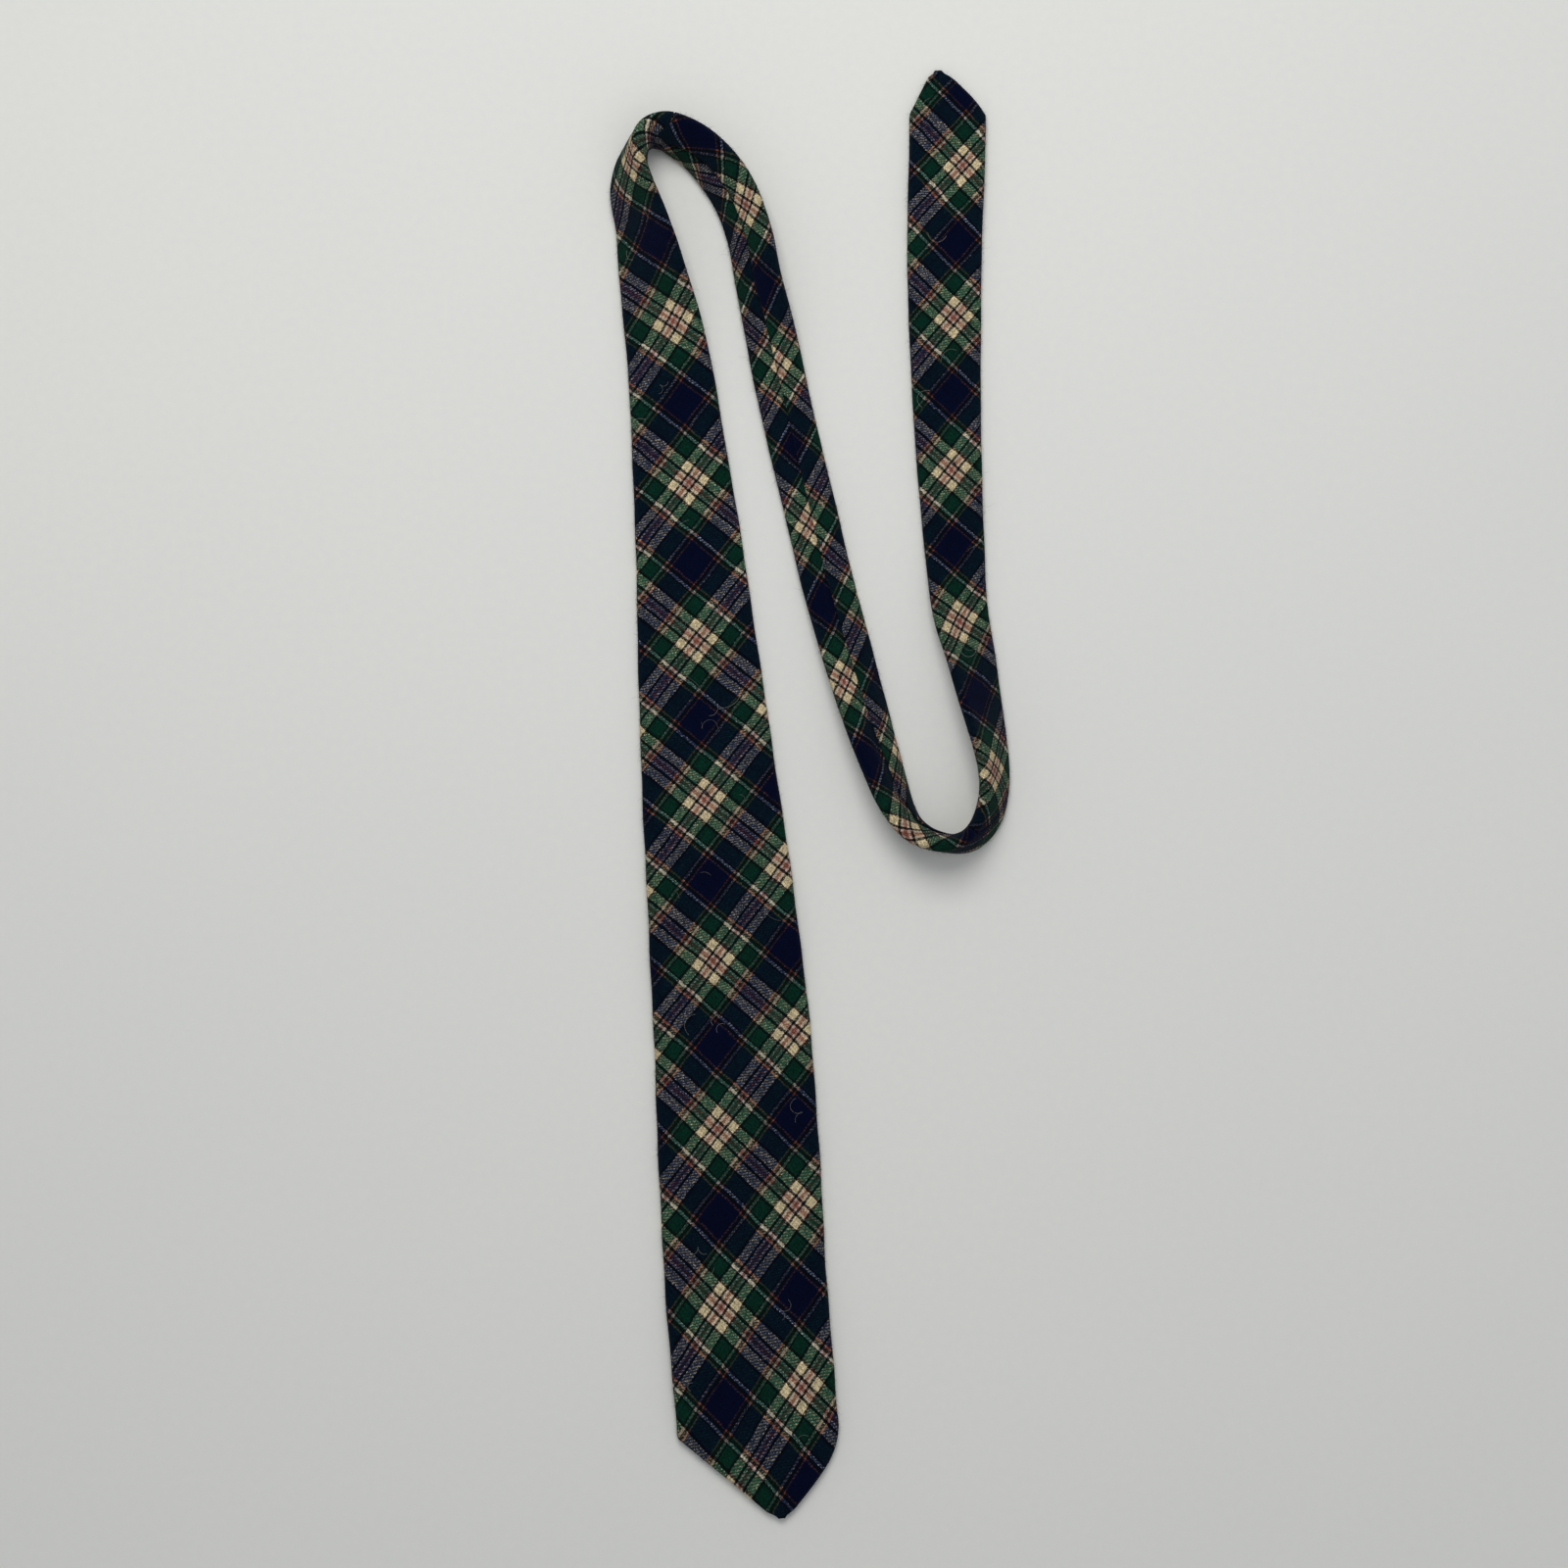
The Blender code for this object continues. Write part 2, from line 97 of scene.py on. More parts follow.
# How the tie lies, seen from above. A leg's points are (x, share of the leg's run); a turn's are
# (x, y) from where it starts. The last number is the roll in degrees, 0 with the face up.
FRONT_RUN = 0.584
NECK_RUN = 0.177
TAIL_RUN = 0.224
FRONT_LEG = (
    (0.0534, 1.000, 0), (0.0448, 0.834, 0), (0.0366, 0.594, 0),
    (0.0244, 0.366, 0), (0.0133, 0.156, 0), (0.0055, 0.047, 10),
)
TOP_TURN = (
    (0.0000, 0.0000, 25), (-0.0046, 0.0220, 40), (-0.0097, 0.0404, 53),
    (-0.0098, 0.0529, 72), (-0.0074, 0.0606, 86), (-0.0024, 0.0652, 101),
    (0.0055, 0.0660, 117), (0.0152, 0.0620, 128), (0.0299, 0.0493, 140),
    (0.0380, 0.0375, 144), (0.0454, 0.0180, 145), (0.0497, -0.0037, 151),
    (0.0545, -0.0244, 163), (0.0604, -0.0529, 178),
)
NECK_LEG = (
    (0.0070, 0.175, 180), (0.0141, 0.338, 180), (0.0214, 0.514, 184),
    (0.0293, 0.675, 192), (0.0380, 0.844, 206), (0.0468, 1.000, 222),
)
BOTTOM_TURN = (
    (0.0085, -0.0221, 240), (0.0129, -0.0292, 249), (0.0194, -0.0345, 258),
    (0.0269, -0.0374, 266), (0.0339, -0.0381, 276), (0.0414, -0.0358, 286),
    (0.0470, -0.0304, 292), (0.0509, -0.0222, 296), (0.0529, -0.0120, 298),
    (0.0524, 0.0004, 302), (0.0506, 0.0108, 307), (0.0460, 0.0308, 319),
    (0.0413, 0.0529, 333), (0.0377, 0.0678, 343), (0.0344, 0.1012, 358),
)
TAIL_LEG = (
    (-0.0033, 0.267, 360), (-0.0045, 0.468, 360), (-0.0045, 0.678, 360),
    (-0.0035, 0.825, 360), (-0.0029, 1.000, 360),
)
ROLL = 2
LINE_POINTS = 6000

# Levels of the layers above and below the envelope's middle.
THICKNESS = 3 * CLOTH + CANVAS + LINING + 4 * CLEAR
EDGE_RADIUS = THICKNESS / 2
FOLD_RADIUS = EDGE_RADIUS - CLOTH / 2
FLAP_STEP = CLOTH + CLEAR
CANVAS_LEVEL = EDGE_RADIUS - CLOTH - CLEAR - CANVAS / 2
LINING_LEVEL = CANVAS_LEVEL - CANVAS / 2 - CLEAR - LINING / 2
KEEPER_HUMP = KEEPER_CLOTH + 1.5 * CLEAR
TACK_HUMP = TACK_THREAD + 1.5 * CLEAR

# Fullness that soft wool has and flat drawing leaves out.
TIP_THIN = 0.45
TIP_SHUT = 0.40
TIP_RUN = 0.016
MOST_ROUND = 0.6
MOST_OPEN = 0.96
FLAP_PUFF = 0.0013
EDGE_CURL = 0.0011
CURL_RUN = 0.0045
BLUNT_ROUND = 0.42
BLUNT_RUN = 0.004
CROWN = 0.0004
SLACK_SIDE = 0.62
TOP_SWELL = 0.0042
TOP_SWELL_BEFORE = 0.004
TOP_SWELL_RUN = (0.020, 0.045)
BOTTOM_SWELL = 0.0026
BOTTOM_SWELL_AFTER = 0.062
BOTTOM_SWELL_RUN = (0.040, 0.055)
RIPPLE = 0.00022
RIPPLE_WAVES = ((0.5, 61, 90, 0.7), (0.3, 137, -150, 2.1), (0.2, 263, 40, 4.0))
FINE_WAVER = 0.004
SLOW_WAVER = 0.003
REST_ROUND = 0.0002
BLADE_BOW = 0.0054
TAIL_BOW = 0.0016
BOW_LEAN = 1.3

# How finely the cloth is meshed.
ROW_STEP = 0.0016
FOLD_COLUMNS = 9
FACE_COLUMNS = 34
FLAP_COLUMNS = 13
LAYER_COLUMNS = 13

# Sewing threads: the step along one, the length of one twist, and each ply's offset and radius as shares of
# the thread's diameter. The slip stitch winds a little.
PLY_STEP = 0.00025
PLY_PITCH = 0.0013
PLY_OFFSET = 0.24
PLY_RADIUS = 0.27
SLIP_WAVE = 0.0002
SLIP_PITCH = 0.012
SLIP_STEP = 0.0015
ZIGZAGS = 16

# Loose wool hairs, a share of which stand on the folds, and a few long stray ones.
RANDOM = np.random.default_rng(7)
HAIR_LENGTH = 0.0019
HAIR_RISE = 0.55
HAIR_CURL = 1.3
HAIR_RADIUS = 0.000036
HAIR_STEPS = 5
FOLD_SHARE = 0.5
STRAY_SHORTEST = 0.004
STRAY_SPREAD = 0.006
STRAY_LIFT = 0.0005
STRAY_RADIUS = 0.000045
STRAY_STEPS = 26
STRAYS = {"front": 34, "tail": 10}
HAIRS = {"front": 7000, "upper": 3500, "lower": 3500, "tail": 4500}

# The view.
CAMERA_HEIGHT = 2.5
VIEW_WIDTH = 0.736
VIEW_MIDDLE = (-0.01196, 0.00497)


def smooth(share):
    """0 below 0, 1 above 1 and a smooth rise between: three squares less two cubes."""
    share = np.clip(share, 0.0, 1.0)
    return share * share * (3 - 2 * share)


def ease(distance, ends):
    """1 before the taper's first end, 0 after its second, half a cosine wave between."""
    share = np.clip((distance - ends[0]) / (ends[1] - ends[0]), 0.0, 1.0)
    return 0.5 + 0.5 * np.cos(np.pi * share)


def lay_points():
    """The rows of x, y and roll that the middle line passes through, and the row where each turn starts."""
    rows = [(x, -share * FRONT_RUN, roll) for x, share, roll in FRONT_LEG]
    top = len(rows)
    rows += TOP_TURN
    x0, y0 = TOP_TURN[-1][:2]
    rows += [(x0 + x, y0 - share * NECK_RUN, roll) for x, share, roll in NECK_LEG]
    bottom = len(rows) - 1
    x0, y0 = rows[-1][:2]
    rows += [(x0 + x, y0 + y, roll) for x, y, roll in BOTTOM_TURN]
    x0, y0 = rows[-1][:2]
    rows += [(x0 + x, y0 + share * TAIL_RUN, roll) for x, share, roll in TAIL_LEG]
    return np.array(rows), top, bottom


def middle_line(points):
    """A smooth line through the points: cubic pieces whose slopes are the weighted mean of both sides'.

    The roll stays level on both sides of a point where it starts or stops changing.
    """
    chord = np.hypot(*np.diff(points[:, :2], axis=0).T)
    knots = np.concatenate([[0.0], np.cumsum(chord)])
    slopes = np.diff(points, axis=0) / chord[:, None]
    before, after = chord[:-1, None], chord[1:, None]
    inner = (slopes[:-1] * after + slopes[1:] * before) / (before + after)
    inner[:, ROLL] *= slopes[:-1, ROLL] * slopes[1:, ROLL] > 0
    tangents = np.vstack([slopes[:1], inner, slopes[-1:]])
    at = np.linspace(0.0, knots[-1], LINE_POINTS)
    piece = np.clip(np.searchsorted(knots, at, side="right") - 1, 0, len(chord) - 1)
    gap = chord[piece][:, None]
    share = (at[:, None] - knots[piece][:, None]) / gap
    rise = share * share * (3 - 2 * share)
    leave = share * (1 - share) ** 2 * gap
    arrive = share * share * (share - 1) * gap
    line = points[piece] * (1 - rise) + points[piece + 1] * rise
    line = line + tangents[piece] * leave + tangents[piece + 1] * arrive
    distance = np.concatenate([[0.0], np.cumsum(np.hypot(*np.diff(line[:, :2], axis=0).T))])
    return line, distance, np.interp(knots, at, distance)


POINTS, TOP_ROW, BOTTOM_ROW = lay_points()
LINE, ALONG, KNOTS = middle_line(POINTS)
LENGTH = ALONG[-1]
HEADING = np.unwrap(np.arctan2(np.gradient(LINE[:, 1], ALONG), np.gradient(LINE[:, 0], ALONG)))
TOP_SEAM = KNOTS[TOP_ROW] + TOP_SEAM_AFTER
BOTTOM_SEAM = KNOTS[BOTTOM_ROW] + BOTTOM_SEAM_AFTER
NECK_MIDDLE = (TOP_SEAM + BOTTOM_SEAM) / 2


def half_width(distance):
    """Half the tie's width at a distance from the wide point, narrowing straight to each blunt point."""
    left = LENGTH - distance
    blade = NECK_WIDTH + (BLADE_WIDTH - NECK_WIDTH) * ease(distance, BLADE_TAPER)
    tail = (TAIL_WIDTH - NECK_WIDTH) * ease(left, TAIL_TAPER)
    full = (blade + tail) / 2
    blunt = POINT_BLUNT / 2
    blade_point = blunt + (full - blunt) * np.clip(distance / BLADE_POINT, 0, 1)
    tail_point = blunt + (full - blunt) * np.clip(left / TAIL_POINT, 0, 1)
    return np.minimum(blade_point, tail_point)


def skew(distance):
    """How far the middle shifts across towards each point, which lies off the middle line."""
    left = LENGTH - distance
    blade = BLADE_SKEW * (1 - np.clip(distance / BLADE_POINT, 0, 1))
    tail = TAIL_SKEW * (1 - np.clip(left / TAIL_POINT, 0, 1))
    return blade - tail


def bump(distance, middle, flat, ramp):
    """1 within half of flat on either side of the middle, falling smoothly to 0 over the ramp."""
    return smooth(1 - (np.abs(distance - middle) - flat / 2) / ramp)


def hump(distance):
    """How far the envelope rises over the keeper loop and the two bar tacks under it."""
    keeper = KEEPER_HUMP * bump(distance, KEEPER_AT, KEEPER_WIDTH + 2 * CLEAR, HUMP_RAMP)
    blade = TACK_HUMP * bump(distance, BLADE_OPENING, TACK_LENGTH, HUMP_RAMP)
    tail = TACK_HUMP * bump(distance, LENGTH - TAIL_OPENING, TACK_LENGTH, HUMP_RAMP)
    return keeper + blade + tail


def lay(distance, across, up):
    """Points in space for a distance along the tie, a place across it to the right, and a height to the face.

    The section is turned about the middle line by the roll, and raised until its lowest edge rests on the
    table.
    """
    distance, across, up = np.broadcast_arrays(distance, across, up)
    x = np.interp(distance, ALONG, LINE[:, 0])
    y = np.interp(distance, ALONG, LINE[:, 1])
    roll = np.radians(np.interp(distance, ALONG, LINE[:, ROLL]))
    heading = np.interp(distance, ALONG, HEADING)
    beyond = distance - np.clip(distance, 0, LENGTH)
    side = across + skew(distance)
    left = up * np.sin(roll) - side * np.cos(roll)
    tallest = (half_width(distance) - EDGE_RADIUS) * np.abs(np.sin(roll)) + EDGE_RADIUS
    z = tallest + side * np.sin(roll) + up * np.cos(roll) + hump(distance)
    x = x + beyond * np.cos(heading) - left * np.sin(heading)
    y = y + beyond * np.sin(heading) + left * np.cos(heading)
    return np.stack([x, y, z], axis=-1)


def free_edge(distance):
    """How far a flap's free edge stops short of the back's middle: below 0 where the two flaps overlap."""
    left = LENGTH - distance
    spread = np.maximum(BLADE_OPENING - distance, TAIL_OPENING - left) - OVERLAP / 2
    hem = np.maximum(half_width(distance) - HEM, MITRE_GAP / 2)
    return np.clip(np.minimum(hem, spread), -OVERLAP / 2, None)


def flap_step(distance):
    """How far the left flap is tucked in under the right one, which ends where the flaps part."""
    left = LENGTH - distance
    inside = np.minimum(distance - BLADE_OPENING, left - TAIL_OPENING)
    return FLAP_STEP * smooth((inside + 1.5 * OVERLAP) / OVERLAP)


def press(distance):
    """How full the envelope is: 1 along the tie, falling towards each point and closing there."""
    ends = np.minimum(distance, LENGTH - distance)
    thin = TIP_THIN + (1 - TIP_THIN) * smooth(ends / TIP_RUN)
    return thin * (TIP_SHUT + (1 - TIP_SHUT) * smooth(ends / BLUNT_RUN))


def seam_slant(distance):
    """1 at a piecing seam and 0 away from it: the bias seams run at 45 degrees across the face."""
    near = np.minimum(np.abs(distance - TOP_SEAM), np.abs(distance - BOTTOM_SEAM))
    return smooth(1 - near / SEAM_FADE)


def arch(distance, across):
    """1 along the tie's middle, falling to 0 at its folds."""
    return np.clip(1 - (across / half_width(distance)) ** 2, 0, 1)


def shoulder(distance, across):
    """How far the right edge near each point bows out past a straight line: a skewed half wave at each."""
    blade = np.clip(distance / BLADE_POINT, 0, 1) ** BOW_LEAN
    tail = np.clip((LENGTH - distance) / TAIL_POINT, 0, 1) ** BOW_LEAN
    bow = BLADE_BOW * np.sin(np.pi * blade) + TAIL_BOW * np.sin(np.pi * tail)
    return bow * np.clip(across / half_width(distance), 0, 1)


def turn_swell(distance, side):
    """How far the slack cloth stands out at the two turns: a little on the face, wholly on the back."""
    top = TOP_SWELL * bump(distance, KNOTS[TOP_ROW + 4] - TOP_SWELL_BEFORE, *TOP_SWELL_RUN)
    bottom = BOTTOM_SWELL * bump(distance, KNOTS[BOTTOM_ROW] + BOTTOM_SWELL_AFTER, *BOTTOM_SWELL_RUN)
    return (top + bottom) * (SLACK_SIDE * side - (1 - SLACK_SIDE))


def ripple(distance, across):
    """The slight unevenness of soft cloth: three slow waves that run along and across the tie, added up."""
    waves = [
        share * np.sin(distance * along + across * over + start)
        for share, along, over, start in RIPPLE_WAVES
    ]
    return RIPPLE * sum(waves)


def section(distance):
    """The cloth's middle layer round the envelope, for a column of distances.

    It runs from the right flap's free edge on the back, round the right fold, over the face, round the
    left fold and back to the left flap's free edge, which steps in under the right flap. Returned are the
    place across, the height, and the same place in the unfolded cloth as its distance along and across.
    """
    at = np.asarray(distance)[:, None]
    half = half_width(at)
    radius = np.minimum(FOLD_RADIUS * press(at), half * MOST_ROUND)
    flat = half - radius - CLOTH / 2
    closed = flap_step(at)
    centred = closed / FLAP_STEP * OVERLAP / 2
    edge = np.minimum(free_edge(at), flat * MOST_OPEN)
    right_edge, left_edge = edge + centred, edge - centred
    flap = np.linspace(0, 1, FLAP_COLUMNS + 1)[None]
    turn = np.radians(np.linspace(-90, 90, FOLD_COLUMNS + 1))[None]
    face = np.linspace(1, -1, FACE_COLUMNS + 1)[None]

    right_flap = right_edge + (flat - right_edge) * flap
    left_flap = left_edge + (flat - left_edge) * flap
    fold_across = flat + radius * np.cos(turn)
    across = np.concatenate([
        right_flap[:, :-1],
        fold_across[:, :-1],
        flat * face,
        -fold_across[:, ::-1][:, 1:],
        -left_flap[:, ::-1][:, 1:],
    ], axis=1)

    reach = flat - left_edge
    tuck = left_edge + np.minimum(OVERLAP + STITCH_ROOM, reach * TUCK_SHARE)
    rise = left_edge + np.minimum(OVERLAP + STITCH_ROOM + STEP_RUN, reach * RISE_SHARE)
    step = closed * smooth((rise - left_flap) / (rise - tuck))
    roll = np.radians(np.interp(at, ALONG, LINE[:, ROLL]))
    shown = closed / FLAP_STEP * (0.5 - 0.5 * np.cos(roll))
    curl = EDGE_CURL * shown * smooth(1 - (right_flap - right_edge) / CURL_RUN)
    puff = FLAP_PUFF * shown * np.sin(np.pi * flap)
    back = -radius - puff
    height = np.concatenate([
        (back - curl)[:, :-1],
        radius * np.sin(turn)[:, :-1],
        radius + 0 * face,
        radius * np.sin(turn)[:, ::-1][:, 1:],
        (back + step)[:, ::-1][:, 1:],
    ], axis=1)
    side = np.concatenate([
        back[:, :-1] * 0 - 1,
        np.sin(turn)[:, :-1] + 0 * at,
        1 + 0 * (face + at),
        np.sin(turn)[:, ::-1][:, 1:] + 0 * at,
        back[:, 1:] * 0 - 1,
    ], axis=1)

    reached = flat + radius * np.pi / 2
    over_right = 2 * flat + radius * np.pi - right_flap
    over_left = 2 * flat + radius * np.pi - left_flap
    over_fold = flat + radius * (np.pi / 2 - turn)
    spread = np.concatenate([
        over_right[:, :-1],
        over_fold[:, :-1],
        flat * face,
        -over_fold[:, ::-1][:, 1:],
        -over_left[:, ::-1][:, 1:],
    ], axis=1)
    past = np.clip(np.abs(spread) - reached, 0, None)
    slope = np.gradient(half[:, 0], np.asarray(distance))[:, None]
    share = 1 / (1 + slope * slope)
    along = at - 2 * past * slope * share
    spread = np.sign(spread) * np.where(past > 0, reached - past + 2 * past * share, np.abs(spread))
    return across, height, side, along, spread + skew(at) + shoulder(at, across)


def within(at, across, height, side):
    """Points in space for places inside the envelope, which share its fullness.

    Side is 1 on the face and -1 on the back. The crown pushes both out by half each while the tie stands
    on edge, and goes wholly to whichever side is uppermost where it lies flat. Whatever would sink into the
    table rests on it instead.
    """
    roll = np.radians(np.interp(at, ALONG, LINE[:, ROLL]))
    lift = 0.5 + 0.5 * side * np.cos(roll)
    crown = CROWN * press(at) * lift * side
    fuller = (crown + turn_swell(at, side)) * arch(at, across) + ripple(at, across)
    wider = 1 + FINE_WAVER * np.sin(at * 190 + 1.0) + SLOW_WAVER * np.sin(at * 83 + np.sign(across))
    ends = np.minimum(at, LENGTH - at)
    rounded = BLUNT_ROUND + (1 - BLUNT_ROUND) * smooth(ends / BLUNT_RUN)
    points = lay(at, (across * wider + shoulder(at, across)) * rounded, height + fuller)
    above = points[..., 2] - CLOTH / 2
    points[..., 2] = CLOTH / 2 + (above + np.sqrt(above**2 + REST_ROUND**2)) / 2
    return points


def envelope(distance):
    """Points in space of the cloth's middle layer for a column of distances, and their places when unfolded.

    The piecing seams slant each row.
    """
    across, height, side, along, spread = section(distance)
    at = np.asarray(distance)[:, None]
    flat = half_width(at) - EDGE_RADIUS
    shift = seam_slant(at) * np.clip(across, -flat, flat)
    return within(at + shift, across, height, side), along + shift, spread


def inside(distance, across, height):
    """Points in space for a layer or thread inside the envelope, at a share of its thickness."""
    at = np.asarray(distance)[:, None]
    side = np.clip(height / FOLD_RADIUS, -1, 1)
    shift = seam_slant(at) * across
    return within(at + shift, across, height * press(at + shift), side + 0 * across)


def rows_between(start, end):
    """Evenly spaced distances between two ends."""
    return np.linspace(start, end, int(round((end - start) / ROW_STEP)) + 1)


def box_middle():
    """The middle of the laid envelope's box, seen from above."""
    distance = np.linspace(0, LENGTH, LINE_POINTS)
    half = half_width(distance)
    rim = np.concatenate([lay(distance, side * half, 0.0) for side in (-1, 1)])
    return (rim.min(axis=0)[:2] + rim.max(axis=0)[:2]) / 2


MIDDLE = box_middle()
LINE[:, :2] -= MIDDLE

# --- looks

# The yarns' colours, as the shares of red, green and blue light that they give back.
YARNS = {
    "rust": (0.200, 0.064, 0.045),
    "brick": (0.170, 0.046, 0.030),
    "pink": (0.500, 0.370, 0.300),
    "black": (0.0024, 0.0028, 0.0034),
    "cream": (0.640, 0.530, 0.325),
    "green": (0.0014, 0.0250, 0.0150),
    "white": (0.440, 0.440, 0.420),
    "fawn": (0.200, 0.170, 0.130),
    "navy": (0.0005, 0.0022, 0.0170),
}

# How far the upper yarn covers the lower one at its crown, and how far hairs of both mist over the rest.
TOP_COVER = 0.24
BLENDED = 0.70

# The tartan. Each stripe is a yarn and its share of the width, from the middle of the pale cross to the
# middle of the navy square. The sett then turns back on itself.
SETT = (
    ("rust", 2), ("pink", 4), ("black", 4), ("cream", 13), ("black", 3), ("green", 19),
    ("black", 3), ("white", 3), ("black", 5), ("brick", 3), ("navy", 21),
)
HALF_SETT = sum(share for _, share in SETT)
THREADS = 128

# How far the threads wander in long curves and how ragged the stripes' edges are, in setts.
WANDER = 0.034
RAGGED = 0.020

# How the sett runs along and across each length of cloth, in setts per metre. Down counts the crosses and
# navy squares towards the wide point, over counts them to the right.
BLADE_DOWN = (14.232, -20.362, -15.73, 12.28, 2.375)
BLADE_OVER = (0.456, -1.094, 27.58)
TAIL_DOWN = (40.589, -28.18, 3.5)
TAIL_OVER = (1.610, -1.333, 30.2)
NECK_DOWN = (-18.99, 26.5, 0.0)
NECK_OVER = (3.21, -2.7, 34.1)


def blade_sett(along, across):
    """The sett's two thread counts on the wide blade: the repeats grow towards the wide point."""
    powers = sum(value * along**power for power, value in enumerate(BLADE_DOWN[:4]))
    down = powers + BLADE_DOWN[4] * across
    over = BLADE_OVER[0] + BLADE_OVER[1] * along + BLADE_OVER[2] * across
    return (down + over) / 2, (down - over) / 2


def even_sett(down, over, along, across):
    """The two thread counts of a sett that repeats evenly: both are straight sums of the two distances."""
    down = down[0] + down[1] * along + down[2] * across
    over = over[0] + over[1] * along + over[2] * across
    return (down + over) / 2, (down - over) / 2


def neck_sett(along, across):
    """The sett's two thread counts on the neck band."""
    return even_sett(NECK_DOWN, NECK_OVER, along, across)


def tail_sett(along, across):
    """The sett's two thread counts on the tail."""
    return even_sett(TAIL_DOWN, TAIL_OVER, along, across)


class Nodes:
    """A short way to write a material: each call makes a node, sets its inputs and returns an output."""

    def __init__(self, name):
        self.made = bpy.data.materials.new(name)
        self.made.use_nodes = True
        self.tree = self.made.node_tree
        self.shader = self.tree.nodes["Principled BSDF"]

    def link(self, value, socket):
        """Puts a number, a colour or another node's output into an input."""
        if isinstance(value, bpy.types.NodeSocket):
            self.tree.links.new(value, socket)
        else:
            socket.default_value = value

    def add(self, kind, inputs=(), output=0, **settings):
        """A node of a kind with its inputs by number or name. The output is the one asked for."""
        node = self.tree.nodes.new("ShaderNode" + kind)
        for key, value in settings.items():
            setattr(node, key, value)
        for key, value in dict(inputs).items():
            self.link(value, node.inputs[key])
        return node.outputs[output]

    def math(self, operation, first, second=0.0, third=0.0):
        """One sum on one, two or three numbers."""
        return self.add("Math", {0: first, 1: second, 2: third}, operation=operation)

    def mix(self, share, first, second, blend="MIX"):
        """A mix of two colours."""
        return self.add(
            "Mix", {0: share, 6: first, 7: second}, output=2, data_type="RGBA", blend_type=blend
        )

    def noise(self, place, scale, detail=2.0, rough=0.5):
        """Smooth noise from 0 to 1 at a place."""
        inputs = {"Vector": place, "Scale": scale, "Detail": detail, "Roughness": rough}
        return self.add("TexNoise", inputs)

    def spread(self, value, low, high, to_low, to_high):
        """A number carried from one range to another, and held at its ends."""
        return self.add("MapRange", {0: value, 1: low, 2: high, 3: to_low, 4: to_high})

    def ramp(self, value, stops, interpolation="LINEAR"):
        """A colour read from stops of place and colour."""
        node = self.tree.nodes.new("ShaderNodeValToRGB")
        node.color_ramp.interpolation = interpolation
        while len(node.color_ramp.elements) < len(stops):
            node.color_ramp.elements.new(0.5)
        for element, (place, colour) in zip(node.color_ramp.elements, stops):
            element.position = place
            element.color = (*colour, 1)
        self.link(value, node.inputs[0])
        return node.outputs[0]

    def bump(self, height, distance, strength):
        """A surface normal tilted by a height."""
        return self.add("Bump", {"Height": height, "Distance": distance, "Strength": strength})

    def finish(self, **sockets):
        """Sets the shader's inputs by name, with underscores for spaces, and returns the material."""
        for key, value in sockets.items():
            self.link(value, self.shader.inputs[key.replace("_", " ")])
        return self.made


def sett_stops(warp):
    """The stripes of half a sett as stops from 0 to 1. The warp has its thin pale line in fawn."""
    place, stops = 0, []
    for yarn, share in SETT:
        laid = "fawn" if warp and yarn == "white" else yarn
        stops.append((place / HALF_SETT, YARNS[laid]))
        place += share
    return stops


